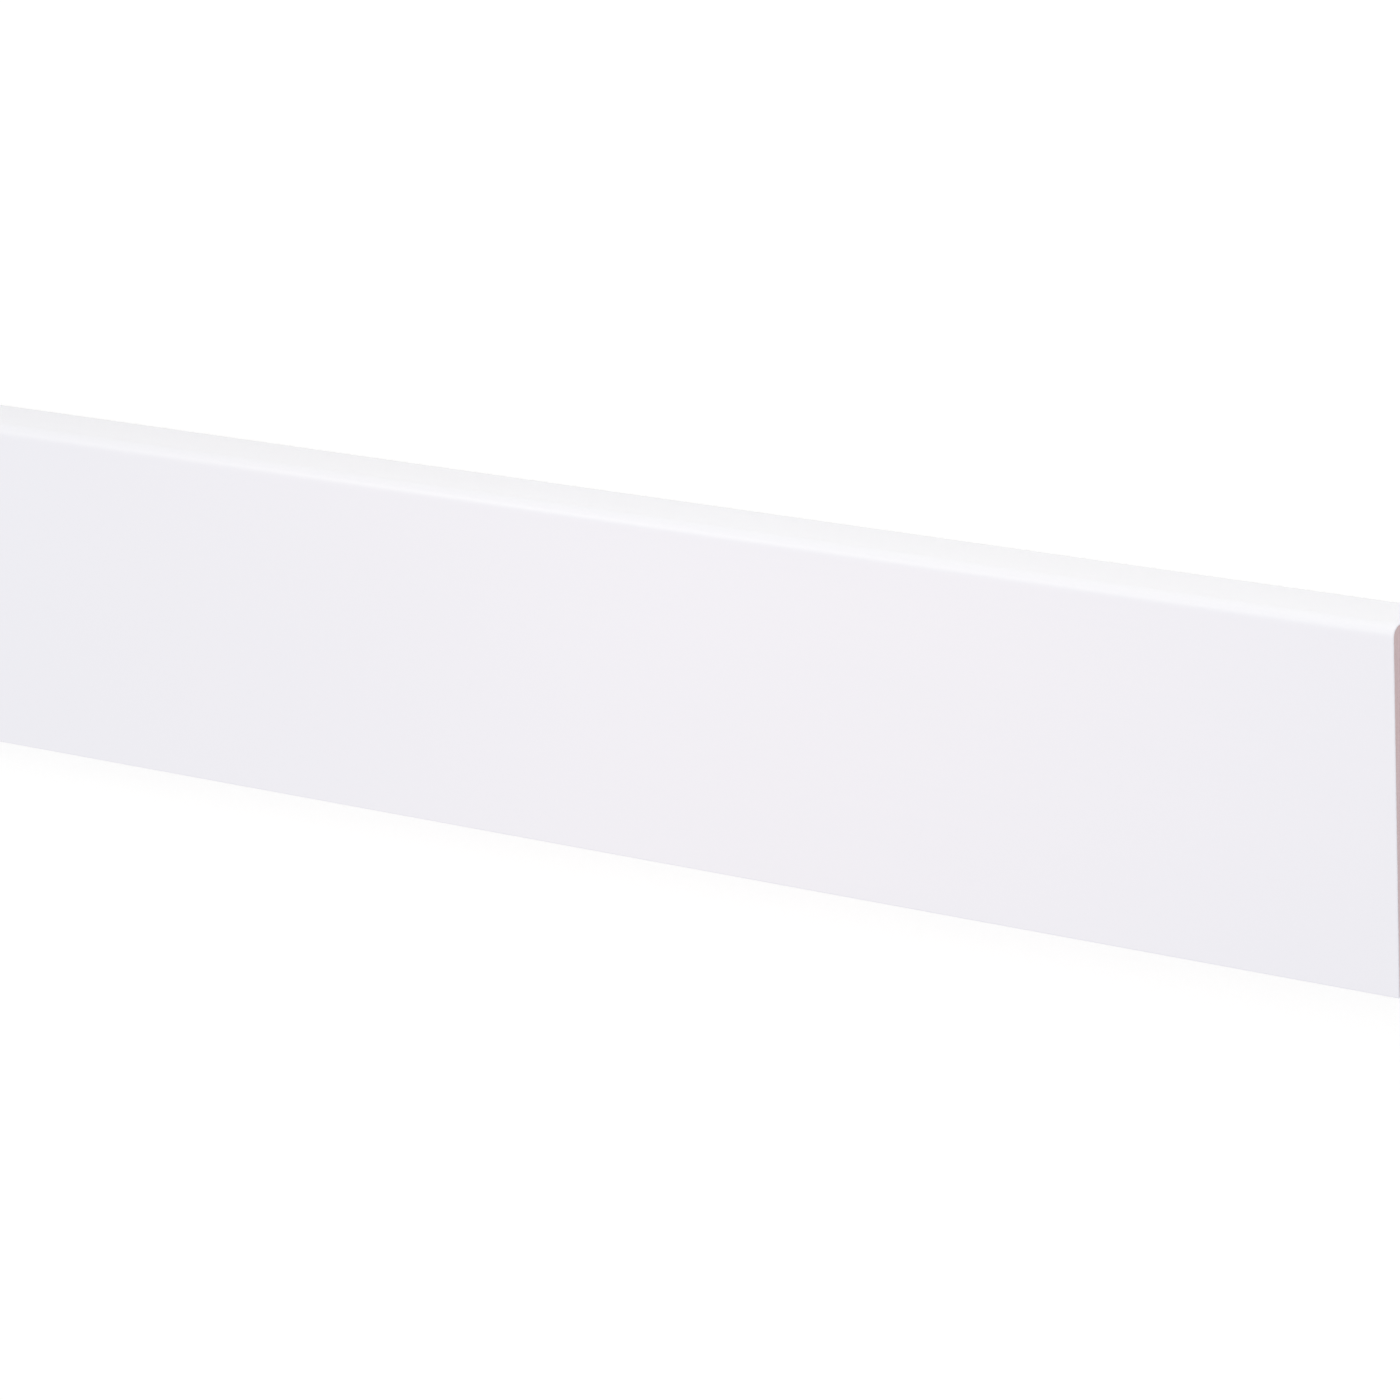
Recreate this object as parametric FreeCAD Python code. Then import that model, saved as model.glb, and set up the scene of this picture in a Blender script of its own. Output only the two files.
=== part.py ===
"""A length of flat skirting board, machined from one piece of MDF.

The board lies on its back with its face up, as it would rest on a level floor:
+X runs along the length, +Y points from the floor edge to the rounded top edge, and
+Z points out of the face. The origin is the centre of the back, which lies in Z = 0.

All sizes are in millimetres.
"""

import os

import FreeCAD
import Part

# Driving dimensions
LENGTH = 2400.0         # stock length, square cut at both ends
HEIGHT = 70.0           # floor edge to top edge, as fixed on the wall
THICKNESS = 15.0        # back to face
NOSE_RADIUS = 2.4       # round between the face and the top edge
ARRIS_RADIUS = 0.3      # the other long edges are only eased by sanding


def corner_arc(corner, toward_start, toward_end, radius):
    """The quarter round that replaces one square corner of the section.

    toward_start and toward_end are the unit directions from the corner along its two sides.
    The arc begins on the first side, ends on the second, and is tangent to both.
    """
    begin = corner + toward_start * radius
    finish = corner + toward_end * radius
    centre = corner + (toward_start + toward_end) * radius
    outward = (corner - centre).normalize()
    return begin, Part.Arc(begin, centre + outward * radius, finish).toShape(), finish


def board_section():
    """The board's cross section at its left end, as a face in the YZ plane."""
    left_end = -LENGTH / 2
    floor_edge = -HEIGHT / 2
    top_edge = HEIGHT / 2
    section_corners = [
        (floor_edge, 0.0, ARRIS_RADIUS),            # floor edge, back
        (top_edge, 0.0, ARRIS_RADIUS),              # top edge, back
        (top_edge, THICKNESS, NOSE_RADIUS),         # top edge, face: the nose
        (floor_edge, THICKNESS, ARRIS_RADIUS),      # floor edge, face
    ]
    points = [FreeCAD.Vector(left_end, y, z) for y, z, _ in section_corners]
    rounds = []
    for i, (_, _, radius) in enumerate(section_corners):
        back_along = (points[i - 1] - points[i]).normalize()
        on_along = (points[(i + 1) % len(points)] - points[i]).normalize()
        rounds.append(corner_arc(points[i], back_along, on_along, radius))

    edges = []
    for i, (begin, arc, _) in enumerate(rounds):
        last_finish = rounds[i - 1][2]
        edges.append(Part.LineSegment(last_finish, begin).toShape())
        edges.append(arc)
    return Part.Face(Part.Wire(edges))


def skirting_board():
    """The section run along the whole length, with square sawn ends."""
    return board_section().extrude(FreeCAD.Vector(LENGTH, 0, 0))


def main():
    os.makedirs("parts", exist_ok=True)
    board = skirting_board()
    if not (board.isValid() and board.isClosed()):
        raise ValueError("the board is not a valid closed solid")
    board.exportStep("parts/skirting_board.step")
    box = board.BoundBox
    print(f"skirting_board {box.XLength:.1f} x {box.YLength:.1f} x {box.ZLength:.1f} mm,"
          f" {board.Volume / 1e9:.6f} m3")


main()
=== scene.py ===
"""A length of white skirting board, lying on its back on a pale floor with its face up.

Everything is in metres, in the board's own frame: X runs along the length, Y from the floor
edge to the rounded top edge, and Z out of the face. The back lies in Z = 0.
"""

import math

import bpy
import numpy as np
from mathutils import Matrix, Vector


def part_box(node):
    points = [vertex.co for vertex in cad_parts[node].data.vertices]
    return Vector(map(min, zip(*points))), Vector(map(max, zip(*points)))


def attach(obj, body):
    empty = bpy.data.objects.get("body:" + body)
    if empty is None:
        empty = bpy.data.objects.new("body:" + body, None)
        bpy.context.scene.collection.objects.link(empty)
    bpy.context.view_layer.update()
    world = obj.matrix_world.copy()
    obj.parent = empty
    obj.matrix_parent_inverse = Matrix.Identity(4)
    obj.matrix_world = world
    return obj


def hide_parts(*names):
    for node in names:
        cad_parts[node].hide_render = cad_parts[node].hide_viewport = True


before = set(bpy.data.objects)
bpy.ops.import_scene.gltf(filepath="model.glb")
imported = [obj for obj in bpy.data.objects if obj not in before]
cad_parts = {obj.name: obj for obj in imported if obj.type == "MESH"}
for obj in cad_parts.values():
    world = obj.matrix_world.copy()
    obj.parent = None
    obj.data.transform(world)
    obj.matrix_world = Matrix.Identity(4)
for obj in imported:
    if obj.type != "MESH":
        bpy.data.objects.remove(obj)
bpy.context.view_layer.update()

MM = 0.001

# The board's size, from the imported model, and the rounds of its edges
BOARD_LOW, BOARD_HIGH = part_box("skirting_board")
LENGTH = BOARD_HIGH[0] - BOARD_LOW[0]
HEIGHT = BOARD_HIGH[1] - BOARD_LOW[1]
THICKNESS = BOARD_HIGH[2] - BOARD_LOW[2]
NOSE_RADIUS = 2.4 * MM          # round between the face and the top edge
ARRIS_RADIUS = 0.3 * MM         # the other long edges are only eased by sanding
CUT_EASE = 0.12 * MM            # the same along the sawn ends

# How finely the board is divided
ROUND_STEPS = 9                 # on each half of a rounded corner
WIDE_STEPS = 130                # across the flat of the face and of the back
NARROW_STEPS = 28               # across the flat of the top edge and of the floor edge
LONG_STEPS = 48                 # along the length
EASE_STEPS = 3                  # over the eased rim of a sawn end
GUARD = 0.25 * MM               # a ring this far before the rim keeps the faces' shading flat

# The sawn ends
BLADE_RADIUS = 125 * MM
BLADE_ASIDE = 0.3 * HEIGHT      # the blade's axis passes this far towards the top edge
MARK_PITCH = 0.9 * MM           # feed from one tooth mark to the next
MARK_DEPTH = 0.022 * MM
MARK_WANDER = 6 * MM            # distance over which the marks stray by up to one pitch
TEAR_SIZE = 0.8 * MM            # width of a place where the teeth tore fibres out
TEAR_FLATNESS = 2.5             # how much thinner it is through the board
TEAR_DEPTH = 0.03 * MM
CALM_RIM = 0.5 * MM             # the film holds the cut clean this far in
END_SEEDS = {-1: 11, 1: 23}     # of the random relief on the left and on the right end

# The film
FILM = 0.28 * MM                # how thick its edge shows round a sawn end
FILM_FADE = 0.02 * MM           # half the width over which it gives way to bare board
FILM_STRAY = 0.04 * MM          # how far its ragged edge strays from there
PEEL_SIZE = 2.2 * MM
FLOW_LINE = 0.9 * MM            # width of the lines that rolling leaves along the board
FILM_RELIEF = 0.006 * MM
SATIN_ROUGHNESS = (0.28, 0.36)  # from its glossiest places to its dullest
WHITE = (0.872, 0.865, 0.905, 1)        # a trace of lilac

# The spray that has drifted round onto the back
LAP = 2.2 * MM                  # how far in from the long edges it thins out
LAP_STRAY = 0.5 * MM
LAP_ROUGHNESS = 0.45
BACK_DEPTH = (0.06 * MM, 0.12 * MM)     # fully on the back below the first, off it past the second

# The pressed fibre, and how strongly each tone of it shows
SKIN = 1.8 * MM                 # denser board under the face and above the back
FIBRE_SIZE = 1.0 * MM
FIBRE_FLATNESS = 5.0
FIBRE_RELIEF = 0.05 * MM
GAP_ROUGHNESS, FIBRE_ROUGHNESS = 0.92, 0.80
PINK_BROWN = (0.66, 0.50, 0.50, 1)      # fresh from the saw
PALE_FIBRE = (0.78, 0.63, 0.62, 1)
DARK_SCRAP = (0.20, 0.13, 0.11, 1)
PALE_SHOWS, SKIN_HIDES, SCRAP_SHOWS = 0.75, 0.55, 0.60

# Scales of noise textures, per metre, and what nearly all of such a texture's values lie between
DULL_PATCHES, SPRAY_PATCHES, EDGE_GRAIN, MIST_GRAIN = 40.0, 60.0, 900.0, 2400.0
NOISE_LOW, NOISE_HIGH = 0.3, 0.7

# Where the board's parts lie in its flat map, in shares of the map's side
RUNS = 4                        # the long sides are cut into this many runs, one above the other
RUN_PITCH, RUN_TALL, RUN_MARGIN = 0.22, 0.213, 0.001
END_WIDE, END_TALL, END_MARGIN = 0.49, 0.105, 0.005

# The camera, from the middle of the face's right-hand end
CAMERA_FROM_END = Vector((0.6288, 0.3396, 0.9800))
VIEW_ASIDE = math.radians(38.82)        # turned from square-on to the face towards the end
VIEW_ABOVE = math.radians(15.11)        # and from square-on towards the top edge
VIEW_ROLL = math.radians(-2.524)
LENS_MM = 172.05
SENSOR_MM = 36.0

# The even light of the surround, and the floor under it
FILL = (0.873, 0.879, 0.901)
FLOOR_REACH = 60.0
PALENESS, SEEN_PALENESS = 0.75, 0.50    # of the floor, as it sends light on and as it is seen
OPEN_FLOOR = 1.004              # how bright the open floor looks: just white

# The lamps' colours, and how wide the pool lamp shines
PALE_YELLOW = (1.0, 1.0, 0.84)
PEACH = (1.0, 0.60, 0.48)
POOL_SPREAD = math.radians(40)


def section_side(begin, finish, begin_radius, finish_radius, flat_steps):
    """One side of the section, from the middle of one rounded corner to that of the next.

    A half round turns the outward direction by 45 degrees up to the side's own, a straight run
    follows, and a second half round turns it on by 45 degrees. A point of a half round is its
    centre plus its radius times the outward direction. Returns points and outward directions.
    """
    along = (finish - begin) / np.linalg.norm(finish - begin)
    outward = np.array([along[1], -along[0]])
    begin_centre = begin + (along - outward) * begin_radius
    finish_centre = finish - (along + outward) * finish_radius

    turn = np.linspace(0, math.pi / 4, ROUND_STEPS + 1)[:, None]
    lead_out = outward * np.cos(turn[::-1]) - along * np.sin(turn[::-1])
    tail_out = outward * np.cos(turn) + along * np.sin(turn)
    lead = begin_centre + begin_radius * lead_out
    tail = finish_centre + finish_radius * tail_out
    share = np.linspace(0, 1, flat_steps + 1)[1:-1, None]
    flat = lead[-1] * (1 - share) + tail[0] * share
    flat_out = np.repeat(outward[None], len(flat), axis=0)
    return np.vstack([lead, flat, tail]), np.vstack([lead_out, flat_out, tail_out])


def section_sides():
    """The back, top edge, face and floor edge in turn, each as (points, outward directions)."""
    low, high = -HEIGHT / 2, HEIGHT / 2
    corners = np.array([(low, 0.0), (high, 0.0), (high, THICKNESS), (low, THICKNESS)])
    radii = [ARRIS_RADIUS, ARRIS_RADIUS, NOSE_RADIUS, ARRIS_RADIUS]
    steps = [WIDE_STEPS, NARROW_STEPS, WIDE_STEPS, NARROW_STEPS]
    return [
        section_side(corners[i], corners[(i + 1) % 4], radii[i], radii[(i + 1) % 4], steps[i])
        for i in range(4)
    ]


def drawn_in(sides, inset):
    """The four sides moved inwards: a point goes back by the inset along its outward direction."""
    return [points - outward * inset for points, outward in sides]


def share_along(points):
    """How far along a run of points each one lies, from 0 to 1, by the length walked."""
    walked = np.concatenate([[0], np.cumsum(np.linalg.norm(np.diff(points, axis=0), axis=1))])
    return walked / walked[-1]


def end_grid(sides):
    """The grid that a section's four sides span, as an array (across, up, 2).

    A point is the mix of back and face at its share across, plus the mix of floor edge and top
    edge at its share up, less the mix of the four corners, which both mixes hold.
    """
    back, top_edge, face, floor_edge = sides
    face, floor_edge = face[::-1], floor_edge[::-1]
    across = share_along(back)[:, None, None]
    up = share_along(floor_edge)[None, :, None]
    between_back_and_face = (1 - up) * back[:, None] + up * face[:, None]
    between_the_edges = (1 - across) * floor_edge[None] + across * top_edge[None]
    corners = (
        (1 - across) * ((1 - up) * back[0] + up * face[0])
        + across * ((1 - up) * back[-1] + up * face[-1])
    )
    return between_back_and_face + between_the_edges - corners


def soft_noise(across, up, size, seed):
    """Smooth random values from 0 to 1 over a plane.

    Each corner of a square lattice has a random value, and a place takes the mix of the four
    round it, by shares eased with 3t^2 - 2t^3.
    """
    cells = 512
    lattice = np.random.default_rng(seed).random((cells, cells))
    column, row = across / size, up / size
    i, j = np.floor(column).astype(int), np.floor(row).astype(int)
    s, t = column - i, row - j
    s, t = s * s * (3 - 2 * s), t * t * (3 - 2 * t)
    near, far = i % cells, (i + 1) % cells
    below, above = j % cells, (j + 1) % cells
    return (
        lattice[near, below] * (1 - s) * (1 - t)
        + lattice[far, below] * s * (1 - t)
        + lattice[near, above] * (1 - s) * t
        + lattice[far, above] * s * t
    )


def inset_from_outline(y, z):
    """How deep a place of the section lies under its outline, counted up to the nose radius.

    It is the least of the distances to the four sides, and round the nose it is the radius
    less the distance from the nose's centre.
    """
    to_sides = np.minimum(HEIGHT / 2 - np.abs(y), THICKNESS / 2 - np.abs(z - THICKNESS / 2))
    past_y = np.maximum(y - (HEIGHT / 2 - NOSE_RADIUS), 0)
    past_z = np.maximum(z - (THICKNESS - NOSE_RADIUS), 0)
    return np.minimum(to_sides, NOSE_RADIUS - np.hypot(past_y, past_z))


def saw_relief(y, z, seed):
    """How deep the sawn surface lies below the flat of the cut.

    A tooth leaves an arc of the blade's radius, so the marks are evenly spaced in the height
    above that arc. Their depth is half the full depth, times one less the cosine of that height,
    with one turn for each pitch. Torn fibres add noise that is long across the board and thin
    through it. Both fade out at the rim.
    """
    wander = MARK_PITCH * soft_noise(y, z, MARK_WANDER, seed)
    feed = z - np.sqrt(BLADE_RADIUS**2 - (y - BLADE_ASIDE) ** 2) + wander
    marks = MARK_DEPTH * (0.5 - 0.5 * np.cos(2 * math.pi * feed / MARK_PITCH))
    through = TEAR_FLATNESS * z
    tears = TEAR_DEPTH * soft_noise(y, through, TEAR_SIZE, seed + 1)
    tears += TEAR_DEPTH * soft_noise(y, through, TEAR_SIZE / 2, seed + 2) / 2
    calm = np.clip((inset_from_outline(y, z) - CUT_EASE) / CALM_RIM, 0, 1)
    return (marks + tears) * calm * calm * (3 - 2 * calm)


def board_rings(sides):
    """The rings of points along the board, as an array (ring, point, 3).

    Each ring is the section's outline at one place of the length. Over the rim of an end a
    quarter turn eases it: the place goes out by the ease times the turn's sine, and the outline
    is drawn in by the ease times one less its cosine.
    """
    turn = np.linspace(0, math.pi / 2, EASE_STEPS + 1)[1:]
    last_full = LENGTH / 2 - CUT_EASE
    middle = np.linspace(-(last_full - GUARD), last_full - GUARD, LONG_STEPS + 1)
    middle = np.concatenate([[-last_full], middle, [last_full]])
    rim = last_full + CUT_EASE * np.sin(turn)
    rim_inset = CUT_EASE * (1 - np.cos(turn))
    places = np.concatenate([-rim[::-1], middle, rim])
    insets = np.concatenate([rim_inset[::-1], np.zeros(len(middle)), rim_inset])
    outline = np.vstack([points[:-1] for points, _ in sides])
    outward = np.vstack([out[:-1] for _, out in sides])
    yz = outline[None] - outward[None] * insets[:, None, None]
    x = np.repeat(places[:, None, None], len(outline), axis=1)
    return np.concatenate([x, yz], axis=2)


def outline_numbers(sides):
    """Where each place on an end grid's border lies in a ring, as an array; -1 inside."""
    counts = [len(points) - 1 for points, _ in sides]
    starts = np.concatenate([[0], np.cumsum(counts)])
    total = starts[-1]
    wide, narrow = counts[0], counts[1]
    numbers = np.full((wide + 1, narrow + 1), -1)
    numbers[:, 0] = starts[0] + np.arange(wide + 1)
    numbers[-1, :] = starts[1] + np.arange(narrow + 1)
    numbers[::-1, -1] = starts[2] + np.arange(wide + 1)
    numbers[0, ::-1] = (starts[3] + np.arange(narrow + 1)) % total
    return numbers


def quads(grid):
    """The faces between a grid's neighbouring points, from the grid of their numbers."""
    return np.stack(
        [grid[:-1, :-1], grid[1:, :-1], grid[1:, 1:], grid[:-1, 1:]], axis=-1
    ).reshape(-1, 4)


def map_of_long_sides(rings):
    """Where the corners of the long faces lie in the flat map, as an array (face, corner, 2).

    The length is cut into equal runs: across the map lies the place within a face's run, and
    up it the run's own band plus the share of the way round the section.
    """
    shares = rings[:, 0, 0] / LENGTH + 0.5
    closed = np.concatenate([rings[len(rings) // 2], rings[len(rings) // 2, :1]])
    way_round = share_along(closed)
    share, way = np.meshgrid(shares, way_round, indexing="ij")
    run = np.floor((shares[:-1] + shares[1:]) / 2 * RUNS)
    run = np.repeat(run, len(way_round) - 1)[:, None]
    across = RUN_MARGIN + (1 - 2 * RUN_MARGIN) * (quads(share) * RUNS - run)
    up = run * RUN_PITCH + quads(way) * RUN_TALL
    return np.stack([across, up], axis=-1)


def map_of_end(flat, end):
    """Where an end grid's corners lie in the flat map: at the top, the two ends side by side."""
    begin = END_MARGIN if end < 0 else 0.5 + END_MARGIN
    across = begin + (flat[..., 0] / HEIGHT + 0.5) * END_WIDE
    up = RUNS * RUN_PITCH + END_MARGIN + flat[..., 1] / THICKNESS * END_TALL
    return np.stack([quads(across), quads(up)], axis=-1)


def board_mesh():
    """The whole board as one closed mesh: rings along the length and a sawn grid on each end.

    Returns the points, the faces, which faces are bare, and the flat map of the face corners.
    """
    sides = section_sides()
    rings = board_rings(sides)
    ring_count, around = rings.shape[:2]
    points = [rings.reshape(-1, 3)]
    point_count = ring_count * around

    ring_numbers = np.arange(point_count).reshape(ring_count, around)
    long_faces = quads(np.concatenate([ring_numbers, ring_numbers[:, :1]], axis=1))[:, ::-1]
    back_count = len(sides[0][0]) - 1
    on_back = np.zeros(around, bool)
    on_back[ROUND_STEPS:back_count - ROUND_STEPS] = True
    faces = [long_faces]
    bare = [np.tile(on_back, ring_count - 1)]
    flat_map = [map_of_long_sides(rings)[:, ::-1]]

    flat = end_grid(drawn_in(sides, CUT_EASE))
    border = outline_numbers(sides)
    for end, seed in END_SEEDS.items():
        y, z = flat[1:-1, 1:-1, 0], flat[1:-1, 1:-1, 1]
        x = end * (LENGTH / 2 - saw_relief(y, z, seed))
        points.append(np.stack([x, y, z], axis=-1).reshape(-1, 3))
        numbers = border + (0 if end < 0 else (ring_count - 1) * around)
        numbers[1:-1, 1:-1] = np.arange(x.size).reshape(x.shape) + point_count
        point_count += x.size
        end_faces, end_map = quads(numbers), map_of_end(flat, end)
        faces.append(end_faces if end > 0 else end_faces[:, ::-1])
        flat_map.append(end_map if end > 0 else end_map[:, ::-1])
        bare.append(np.ones(len(end_faces), bool))
    return np.vstack(points), np.vstack(faces), np.concatenate(bare), np.vstack(flat_map)


def make_board(white_finish, bare_board):
    """The board's object, with the white finish on its dressed faces and bare board elsewhere."""
    points, faces, bare, flat_map = board_mesh()
    mesh = bpy.data.meshes.new("skirting_length")
    mesh.from_pydata(points.tolist(), [], faces.tolist())
    mesh.materials.append(white_finish)
    mesh.materials.append(bare_board)
    mesh.polygons.foreach_set("material_index", bare.astype(np.int32))
    mesh.polygons.foreach_set("use_smooth", np.ones(len(faces), bool))
    mesh.uv_layers.new(name="OFBake").data.foreach_set("uv", flat_map.ravel())
    mesh.update()
    board = bpy.data.objects.new("skirting_length", mesh)
    bpy.context.scene.collection.objects.link(board)
    return board


def feed(tree, node, inputs):
    """Gives each named input of a node its value, or links the socket given for it."""
    for name, value in inputs.items():
        if isinstance(value, bpy.types.NodeSocket):
            tree.links.new(value, node.inputs[name])
        else:
            node.inputs[name].default_value = value
    return node


def place(tree, kind, inputs=None, **settings):
    """Adds a shader node with its settings and inputs."""
    node = tree.nodes.new("ShaderNode" + kind)
    for name, value in settings.items():
        setattr(node, name, value)
    return feed(tree, node, inputs or {})


def maths(tree, operation, *values, clamp=False):
    """The output of one arithmetic node."""
    return place(
        tree, "Math", dict(enumerate(values)), operation=operation, use_clamp=clamp
    ).outputs[0]


def between(tree, value, low, high, to_low=0.0, to_high=1.0, steps="LINEAR"):
    """A value carried from one range to another, held at its ends."""
    return place(
        tree, "MapRange",
        {"Value": value, "From Min": low, "From Max": high, "To Min": to_low, "To Max": to_high},
        interpolation_type=steps,
    ).outputs[0]


def blend(tree, share, first, second):
    """Two colours mixed by a share from 0, all of the first, to 1."""
    return place(tree, "Mix", {0: share, 6: first, 7: second}, data_type="RGBA").outputs[2]


def blend_values(tree, share, first, second):
    """Two numbers mixed by a share from 0, all of the first, to 1."""
    return place(tree, "Mix", {0: share, 2: first, 3: second}, data_type="FLOAT").outputs[0]


def scaled(tree, vector, stretch):
    """A vector with each part multiplied."""
    return place(tree, "VectorMath", {0: vector, 1: stretch}, operation="MULTIPLY").outputs[0]


def noise(tree, vector, scale, detail=2.0, roughness=0.5):
    """Blender's noise, spread over 0 to 1 about its middle."""
    return place(
        tree, "TexNoise",
        {"Vector": vector, "Scale": scale, "Detail": detail, "Roughness": roughness},
    ).outputs[0]


def new_group(name, inputs, outputs):
    """A shader node group with named sockets; inputs give their kinds and usual values."""
    group = bpy.data.node_groups.new(name, "ShaderNodeTree")
    for socket_name, kind, value in inputs:
        socket = group.interface.new_socket(
            socket_name, in_out="INPUT", socket_type="NodeSocket" + kind
        )
        if value is not None:
            socket.default_value = value
    for socket_name, kind in outputs:
        group.interface.new_socket(socket_name, in_out="OUTPUT", socket_type="NodeSocket" + kind)
    begin = group.nodes.new("NodeGroupInput").outputs
    finish = group.nodes.new("NodeGroupOutput").inputs
    return group, begin, finish


def use_group(tree, group, inputs):
    """Places a group in a material and returns its outputs."""
    node = tree.nodes.new("ShaderNodeGroup")
    node.node_tree = group
    return feed(tree, node, inputs).outputs


def tone_drift_group():
    """Slow drift of a colour over the surface, a little lighter and darker, warmer and cooler.

    Noise strays from its middle by about a quarter, so four times that swings from -1 to 1.
    Warmth swings half as far, and is read some way off, so that it doesn't follow the shade.
    """
    group, begin, finish = new_group(
        "tone_drift",
        [("Vector", "Vector", None), ("Color", "Color", (0.8, 0.8, 0.8, 1)),
         ("Size", "Float", 0.1), ("Amount", "Float", 0.01)],
        [("Color", "Color")],
    )
    scale = maths(group, "DIVIDE", 1.0, begin["Size"])
    shade = noise(group, begin["Vector"], scale, detail=1.0)
    some_way_off = place(
        group, "VectorMath", {0: begin["Vector"], 1: (3.1, 1.7, 0.6)}, operation="ADD"
    ).outputs[0]
    warmth = noise(group, some_way_off, scale, detail=1.0)
    swing = maths(group, "MULTIPLY", maths(group, "SUBTRACT", shade, 0.5), 4.0)
    level = maths(group, "MULTIPLY_ADD", swing, begin["Amount"], 1.0)
    swing = maths(group, "MULTIPLY", maths(group, "SUBTRACT", warmth, 0.5), 2.0)
    tint = maths(group, "MULTIPLY", swing, begin["Amount"])
    warm = maths(group, "ADD", level, tint)
    cool = maths(group, "SUBTRACT", level, tint)
    factors = place(group, "CombineXYZ", {0: warm, 1: level, 2: cool}).outputs[0]
    group.links.new(scaled(group, begin["Color"], factors), finish["Color"])
    return group


def fibre_group():
    """Wood fibres pressed into a board: they lie flat in it, so they are thin through it.

    Fibre runs from 0, a gap, to 1, a fibre. It is coarse noise mixed half and half with
    strands, which lie along the board or across it. Speck marks the few dark scraps of bark.
    """
    group, begin, finish = new_group(
        "pressed_fibre",
        [("Vector", "Vector", None), ("Size", "Float", 0.001), ("Flatness", "Float", 4.0)],
        [("Fibre", "Float"), ("Speck", "Float")],
    )
    scale = maths(group, "DIVIDE", 1.0, begin["Size"])
    stretch = place(group, "CombineXYZ", {0: 1.0, 1: 1.0, 2: begin["Flatness"]}).outputs[0]
    flat = scaled(group, begin["Vector"], stretch)
    coarse = noise(group, flat, scale, detail=4.0, roughness=0.62)
    thin, drawn_out, layered = 2.3, 0.7, 1.6
    lying_across = scaled(group, flat, (thin, drawn_out, layered))
    lying_along = scaled(group, flat, (drawn_out, thin, layered))
    strands = maths(
        group, "MAXIMUM",
        noise(group, lying_across, scale, detail=3.0, roughness=0.6),
        noise(group, lying_along, scale, detail=3.0, roughness=0.6),
    )
    both = maths(group, "ADD", maths(group, "MULTIPLY", coarse, 0.5),
                 maths(group, "MULTIPLY", strands, 0.5))
    all_gap, all_fibre = 0.38, 0.68
    group.links.new(between(group, both, all_gap, all_fibre), finish["Fibre"])
    spread_out = scaled(group, flat, (0.45, 0.45, 0.6))
    scraps = noise(group, spread_out, scale, detail=2.0, roughness=0.7)
    no_scrap, all_scrap = 0.66, 0.72
    speck = between(group, scraps, no_scrap, all_scrap, steps="SMOOTHSTEP")
    group.links.new(speck, finish["Speck"])
    return group


def film_group():
    """The surface of a sprayed and rolled film: peel, and faint flow lines along the length.

    Height is seven parts of peel to three of lines. Dullness, from 0 to 1, is six parts of
    broad patches to four of the same lines.
    """
    group, begin, finish = new_group(
        "film_surface",
        [("Vector", "Vector", None), ("Peel Size", "Float", 0.002),
         ("Line Width", "Float", 0.0008)],
        [("Height", "Float"), ("Dullness", "Float")],
    )
    peel_scale = maths(group, "DIVIDE", 1.0, begin["Peel Size"])
    peel = noise(group, begin["Vector"], peel_scale, detail=3.0)
    lengthened = scaled(group, begin["Vector"], (0.012, 1.0, 1.0))
    line_scale = maths(group, "DIVIDE", 1.0, begin["Line Width"])
    lines = noise(group, lengthened, line_scale, detail=1.0)
    height = maths(group, "ADD", maths(group, "MULTIPLY", peel, 0.7),
                   maths(group, "MULTIPLY", lines, 0.3))
    group.links.new(height, finish["Height"])
    patches = noise(group, scaled(group, begin["Vector"], (0.2, 1.0, 1.0)), DULL_PATCHES)
    dullness = maths(group, "ADD", maths(group, "MULTIPLY", patches, 0.6),
                     maths(group, "MULTIPLY", lines, 0.4))
    group.links.new(between(group, dullness, NOISE_LOW, NOISE_HIGH), finish["Dullness"])
    return group


def inset_group():
    """How deep a place lies under the face and the two edges, counted up to the nose radius.

    It is the least distance to one of the three, and round the nose the radius less the
    distance from the nose's centre. The back has no film, so it doesn't count.
    """
    group, begin, finish = new_group(
        "section_inset",
        [("Vector", "Vector", None), ("Half Height", "Float", HEIGHT / 2),
         ("Thickness", "Float", THICKNESS), ("Nose Radius", "Float", NOSE_RADIUS)],
        [("Inset", "Float")],
    )
    parts = place(group, "SeparateXYZ", {0: begin["Vector"]}).outputs
    y, z = parts[1], parts[2]
    to_edges = maths(group, "SUBTRACT", begin["Half Height"], maths(group, "ABSOLUTE", y))
    to_face = maths(group, "SUBTRACT", begin["Thickness"], z)
    to_sides = maths(group, "MINIMUM", to_edges, to_face)
    radius = begin["Nose Radius"]
    past_y = maths(group, "MAXIMUM", maths(group, "SUBTRACT", radius, to_edges), 0.0)
    past_y = maths(group, "MULTIPLY", past_y, maths(group, "GREATER_THAN", y, 0.0))
    past_z = maths(group, "MAXIMUM", maths(group, "SUBTRACT", radius, to_face), 0.0)
    squares = maths(group, "ADD", maths(group, "MULTIPLY", past_y, past_y),
                    maths(group, "MULTIPLY", past_z, past_z))
    round_nose = maths(group, "SUBTRACT", radius, maths(group, "SQRT", squares))
    group.links.new(maths(group, "MINIMUM", to_sides, round_nose), finish["Inset"])
    return group


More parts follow.
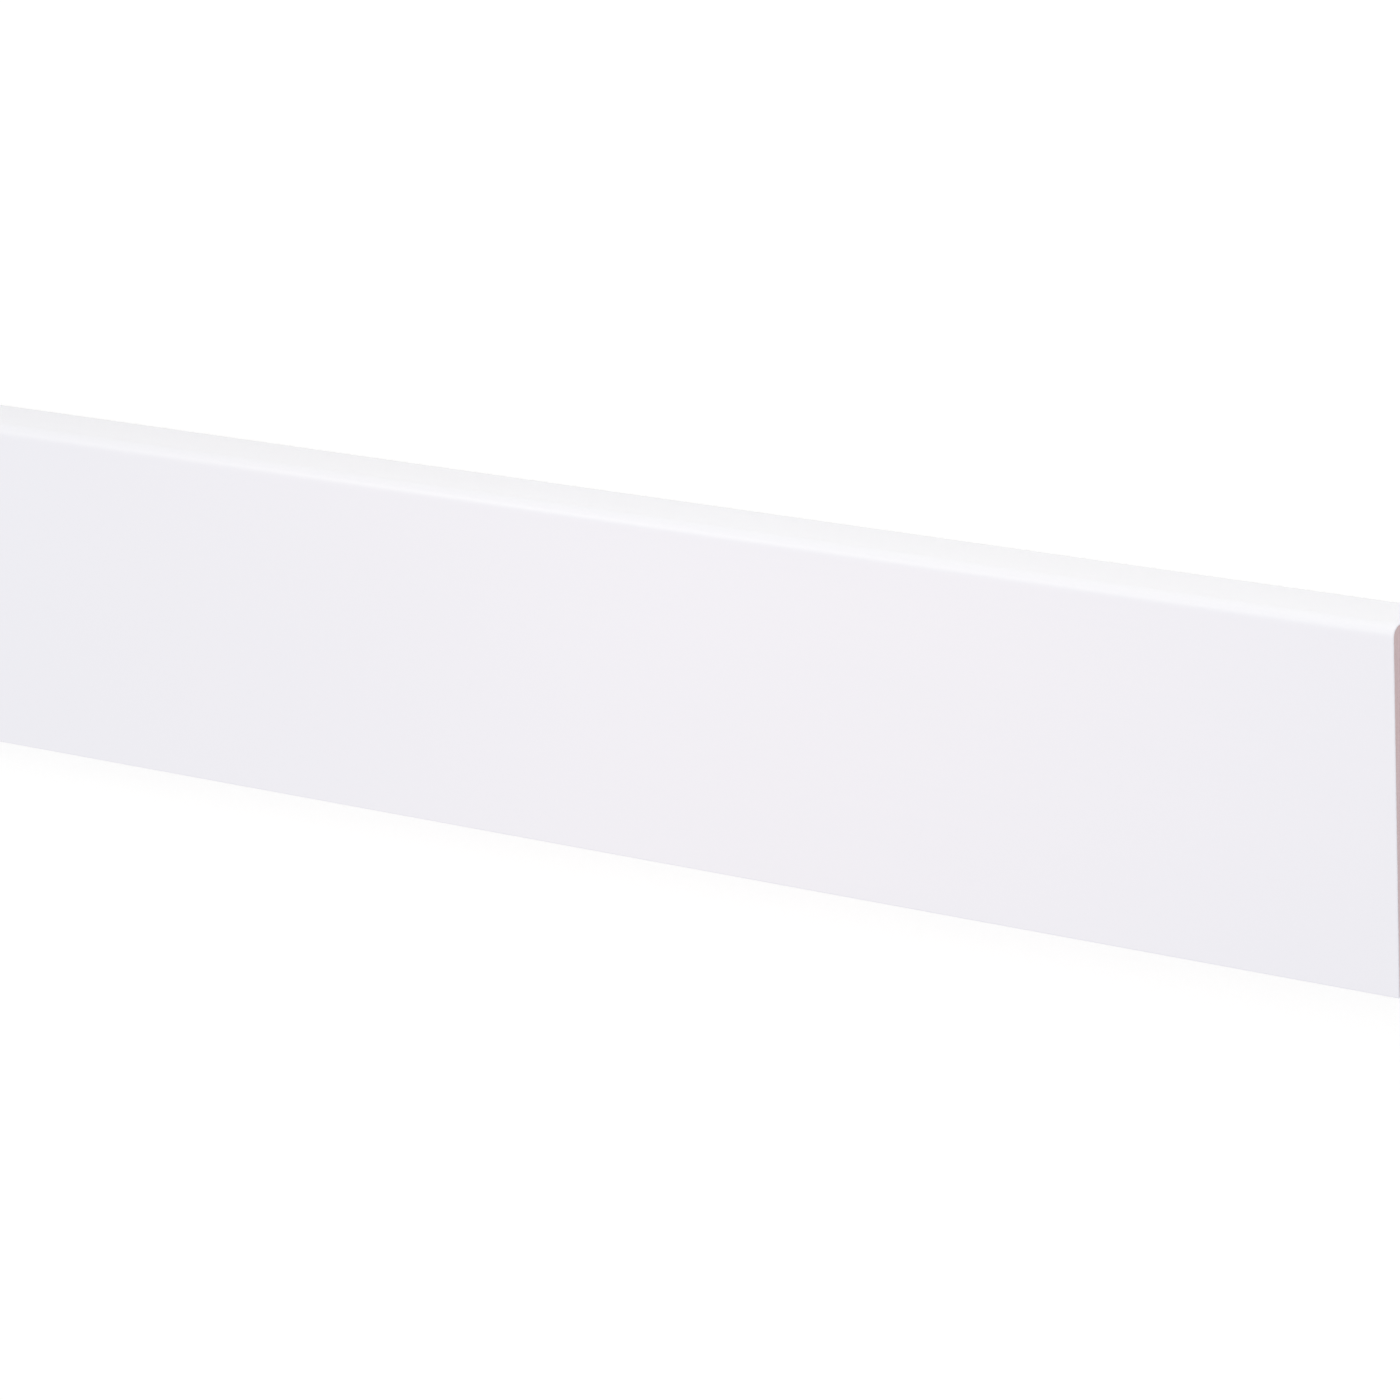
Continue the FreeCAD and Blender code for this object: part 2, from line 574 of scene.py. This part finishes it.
def new_material(name):
    """An empty material, with its node tree, its Principled shader and its Object coordinates."""
    material = bpy.data.materials.new(name)
    material.use_nodes = True
    tree = material.node_tree
    tree.nodes.clear()
    shader = tree.nodes.new("ShaderNodeBsdfPrincipled")
    output = tree.nodes.new("ShaderNodeOutputMaterial")
    tree.links.new(shader.outputs[0], output.inputs["Surface"])
    coordinates = tree.nodes.new("ShaderNodeTexCoord").outputs["Object"]
    return material, tree, shader, coordinates


def make_white_finish(groups):
    """Satin white film over smooth board: even, with faint peel and flow lines."""
    material, tree, shader, coordinates = new_material("white_finish")
    colour = use_group(
        tree, groups["tone_drift"],
        {"Vector": coordinates, "Color": WHITE, "Size": 0.09, "Amount": 0.004},
    )["Color"]
    film = use_group(
        tree, groups["film_surface"],
        {"Vector": coordinates, "Peel Size": PEEL_SIZE, "Line Width": FLOW_LINE},
    )
    tree.links.new(colour, shader.inputs["Base Color"])
    roughness = between(tree, film["Dullness"], 0, 1, *SATIN_ROUGHNESS)
    tree.links.new(roughness, shader.inputs["Roughness"])
    bump = place(tree, "Bump", {"Strength": 1.0, "Distance": FILM_RELIEF, "Height": film["Height"]})
    tree.links.new(bump.outputs[0], shader.inputs["Normal"])
    return material


def fibre_colour(tree, groups, coordinates, fibre):
    """Pale fibres on pinkish brown, plainer in the dense skins, with a few dark scraps."""
    z = place(tree, "SeparateXYZ", {0: coordinates}).outputs[2]
    from_middle = maths(tree, "ABSOLUTE", maths(tree, "SUBTRACT", z, THICKNESS / 2))
    skin = between(
        tree, from_middle, THICKNESS / 2 - 2 * SKIN, THICKNESS / 2 - SKIN / 2, steps="SMOOTHSTEP"
    )
    pale = maths(tree, "MULTIPLY", fibre["Fibre"], PALE_SHOWS)
    colour = blend(tree, pale, PINK_BROWN, PALE_FIBRE)
    colour = blend(tree, maths(tree, "MULTIPLY", skin, SKIN_HIDES), colour, PINK_BROWN)
    scrap = maths(tree, "MULTIPLY", fibre["Speck"], SCRAP_SHOWS)
    colour = blend(tree, scrap, colour, DARK_SCRAP)
    return use_group(
        tree, groups["tone_drift"],
        {"Vector": coordinates, "Color": colour, "Size": 0.02, "Amount": 0.03},
    )["Color"]


def film_edge(tree, groups, coordinates):
    """1 where the white film shows edge-on round a sawn end, to a ragged line, and 0 inside."""
    inset = use_group(
        tree, groups["section_inset"],
        {"Vector": coordinates, "Half Height": HEIGHT / 2, "Thickness": THICKNESS,
         "Nose Radius": NOSE_RADIUS},
    )["Inset"]
    grain = noise(tree, coordinates, EDGE_GRAIN)
    ragged = between(tree, grain, NOISE_LOW, NOISE_HIGH, -FILM_STRAY, FILM_STRAY)
    depth = maths(tree, "ADD", inset, ragged)
    return between(tree, depth, FILM - FILM_FADE, FILM + FILM_FADE, 1.0, 0.0)


def spray_on_back(tree, coordinates):
    """Fine white spray on the back, which thins out as it gets further in from a long edge.

    A droplet shows where fine noise, whose middle is a half, plus a thinning share comes to
    about 1. The share falls from 3/4 to 1/4 over the lap, so the droplets get rarer until only
    a few are left.
    """
    parts = place(tree, "SeparateXYZ", {0: coordinates}).outputs
    y, z = parts[1], parts[2]
    to_edge = maths(tree, "SUBTRACT", HEIGHT / 2, maths(tree, "ABSOLUTE", y))
    patches = noise(tree, coordinates, SPRAY_PATCHES, detail=1.0)
    drift = between(tree, patches, NOISE_LOW, NOISE_HIGH, -LAP_STRAY, LAP_STRAY)
    from_edge = maths(tree, "ADD", to_edge, drift)
    thinning = between(tree, from_edge, 0.4 * LAP, 1.6 * LAP, 0.75, 0.25)
    mist = noise(tree, coordinates, MIST_GRAIN)
    droplets = between(tree, maths(tree, "ADD", mist, thinning), 0.92, 1.08)
    return maths(tree, "MULTIPLY", droplets, between(tree, z, *BACK_DEPTH, 1.0, 0.0))


def make_bare_board(groups):
    """Bare pressed fibre, with white film edge-on round a sawn end and as spray on the back."""
    material, tree, shader, coordinates = new_material("bare_board")
    fibre = use_group(
        tree, groups["pressed_fibre"],
        {"Vector": coordinates, "Size": FIBRE_SIZE, "Flatness": FIBRE_FLATNESS},
    )
    body = fibre_colour(tree, groups, coordinates, fibre)
    edge = film_edge(tree, groups, coordinates)
    film = maths(tree, "MAXIMUM", edge, spray_on_back(tree, coordinates))
    tree.links.new(blend(tree, film, body, WHITE), shader.inputs["Base Color"])

    rough = between(tree, fibre["Fibre"], 0, 1, GAP_ROUGHNESS, FIBRE_ROUGHNESS)
    roughness = blend_values(tree, film, rough, LAP_ROUGHNESS)
    tree.links.new(roughness, shader.inputs["Roughness"])
    relief = maths(tree, "MULTIPLY", fibre["Fibre"], maths(tree, "SUBTRACT", 1.0, film))
    bump = place(tree, "Bump", {"Strength": 0.8, "Distance": FIBRE_RELIEF, "Height": relief})
    tree.links.new(bump.outputs[0], shader.inputs["Normal"])
    return material


def seen_share(tree):
    """1 for rays from the camera, a reflection or clear stuff, and 0 for those that carry light."""
    path = place(tree, "LightPath").outputs
    seen = maths(tree, "ADD", path["Is Camera Ray"], path["Is Glossy Ray"])
    return maths(tree, "ADD", seen, path["Is Transmission Ray"], clamp=True)


def make_floor():
    """A wide pale floor. Where it is seen, its own glow adds what the fill leaves short of white."""
    corners = ((-1, -1), (1, -1), (1, 1), (-1, 1))
    points = [(x * FLOOR_REACH, y * FLOOR_REACH, 0) for x, y in corners]
    mesh = bpy.data.meshes.new("floor")
    mesh.from_pydata(points, [], [(0, 1, 2, 3)])
    floor = bpy.data.objects.new("floor", mesh)
    bpy.context.scene.collection.objects.link(floor)

    material = bpy.data.materials.new("floor")
    material.use_nodes = True
    tree = material.node_tree
    tree.nodes.clear()
    seen = seen_share(tree)
    shade = blend_values(tree, seen, PALENESS, SEEN_PALENESS)
    colour = place(tree, "CombineXYZ", {0: shade, 1: shade, 2: shade}).outputs[0]
    matt = place(tree, "BsdfDiffuse", {"Color": colour}).outputs[0]
    glow = [OPEN_FLOOR - SEEN_PALENESS * level for level in FILL]
    lit = place(tree, "Emission", {"Color": (*glow, 1), "Strength": seen}).outputs[0]
    both = place(tree, "AddShader", {0: matt, 1: lit}).outputs[0]
    place(tree, "OutputMaterial", {"Surface": both})
    mesh.materials.append(material)


def make_surround():
    """An even white surround, which lights the board a little less than it shows."""
    world = bpy.data.worlds.new("surround")
    bpy.context.scene.world = world
    world.use_nodes = True
    tree = world.node_tree
    tree.nodes.clear()
    colour = blend(tree, seen_share(tree), (*FILL, 1), (1, 1, 1, 1))
    background = place(tree, "Background", {"Color": colour, "Strength": 1.0}).outputs[0]
    place(tree, "OutputWorld", {"Surface": background})


def make_lamp(name, at, aim, side, power, colour, spread=math.pi):
    """A square soft lamp that shines from one place towards another, with its power in watts."""
    data = bpy.data.lights.new(name, "AREA")
    data.size, data.energy, data.color, data.spread = side, power, colour, spread
    lamp = bpy.data.objects.new(name, data)
    lamp.location = at
    lamp.rotation_euler = (Vector(aim) - Vector(at)).to_track_quat("-Z", "Y").to_euler()
    lamp.visible_camera = False
    bpy.context.scene.collection.objects.link(lamp)


def light_the_studio():
    """The surround, three weak soft lamps beyond the top edge, and a faint pool on the face."""
    make_surround()
    make_lamp("edge_lamp", at=(1.10, 0.45, 0.14), aim=(1.05, 0, 0), side=0.3,
              power=0.23, colour=PALE_YELLOW)
    make_lamp("end_lamp", at=(1.35, 0.50, 0.15), aim=(1.15, 0, 0), side=0.3,
              power=0.31, colour=PALE_YELLOW)
    make_lamp("upper_lamp", at=(0.55, 0.40, 0.55), aim=(1.05, 0, 0), side=0.3,
              power=0.48, colour=PALE_YELLOW)
    make_lamp("face_lamp", at=(0.75, -0.15, 0.50), aim=(1.06, 0.02, 0), side=0.2,
              power=0.0085, colour=PEACH, spread=POOL_SPREAD)


def make_camera():
    """The camera, placed from the right-hand end and turned by its two angles off square-on.

    Its own back direction points from the board to it: sine and cosine of the angle aside give
    the parts along the length and out of the face, both times the cosine of the angle above,
    and its sine gives the part towards the top edge. Right and up are then rolled about it.
    """
    aside, above, roll = VIEW_ASIDE, VIEW_ABOVE, VIEW_ROLL
    back = Vector((
        math.sin(aside) * math.cos(above), math.sin(above), math.cos(aside) * math.cos(above)
    ))
    level = Vector((math.cos(aside), 0, -math.sin(aside)))
    rise = back.cross(level)
    right = level * math.cos(roll) + rise * math.sin(roll)
    up = rise * math.cos(roll) - level * math.sin(roll)

    data = bpy.data.cameras.new("camera")
    data.lens, data.sensor_width = LENS_MM, SENSOR_MM
    data.clip_start, data.clip_end = 0.05, 200.0
    camera = bpy.data.objects.new("camera", data)
    face_end = Vector((LENGTH / 2, 0, THICKNESS))
    turned = Matrix((right, up, back)).transposed().to_4x4()
    camera.matrix_world = Matrix.Translation(face_end + CAMERA_FROM_END) @ turned
    bpy.context.scene.collection.objects.link(camera)
    bpy.context.scene.camera = camera


def main():
    """Sets up the camera, light and floor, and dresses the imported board."""
    make_camera()
    bpy.context.scene.view_settings.view_transform = "Standard"
    light_the_studio()
    make_floor()
    groups = {
        "tone_drift": tone_drift_group(),
        "pressed_fibre": fibre_group(),
        "film_surface": film_group(),
        "section_inset": inset_group(),
    }
    board = make_board(make_white_finish(groups), make_bare_board(groups))
    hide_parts("skirting_board")
    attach(board, "root")


main()
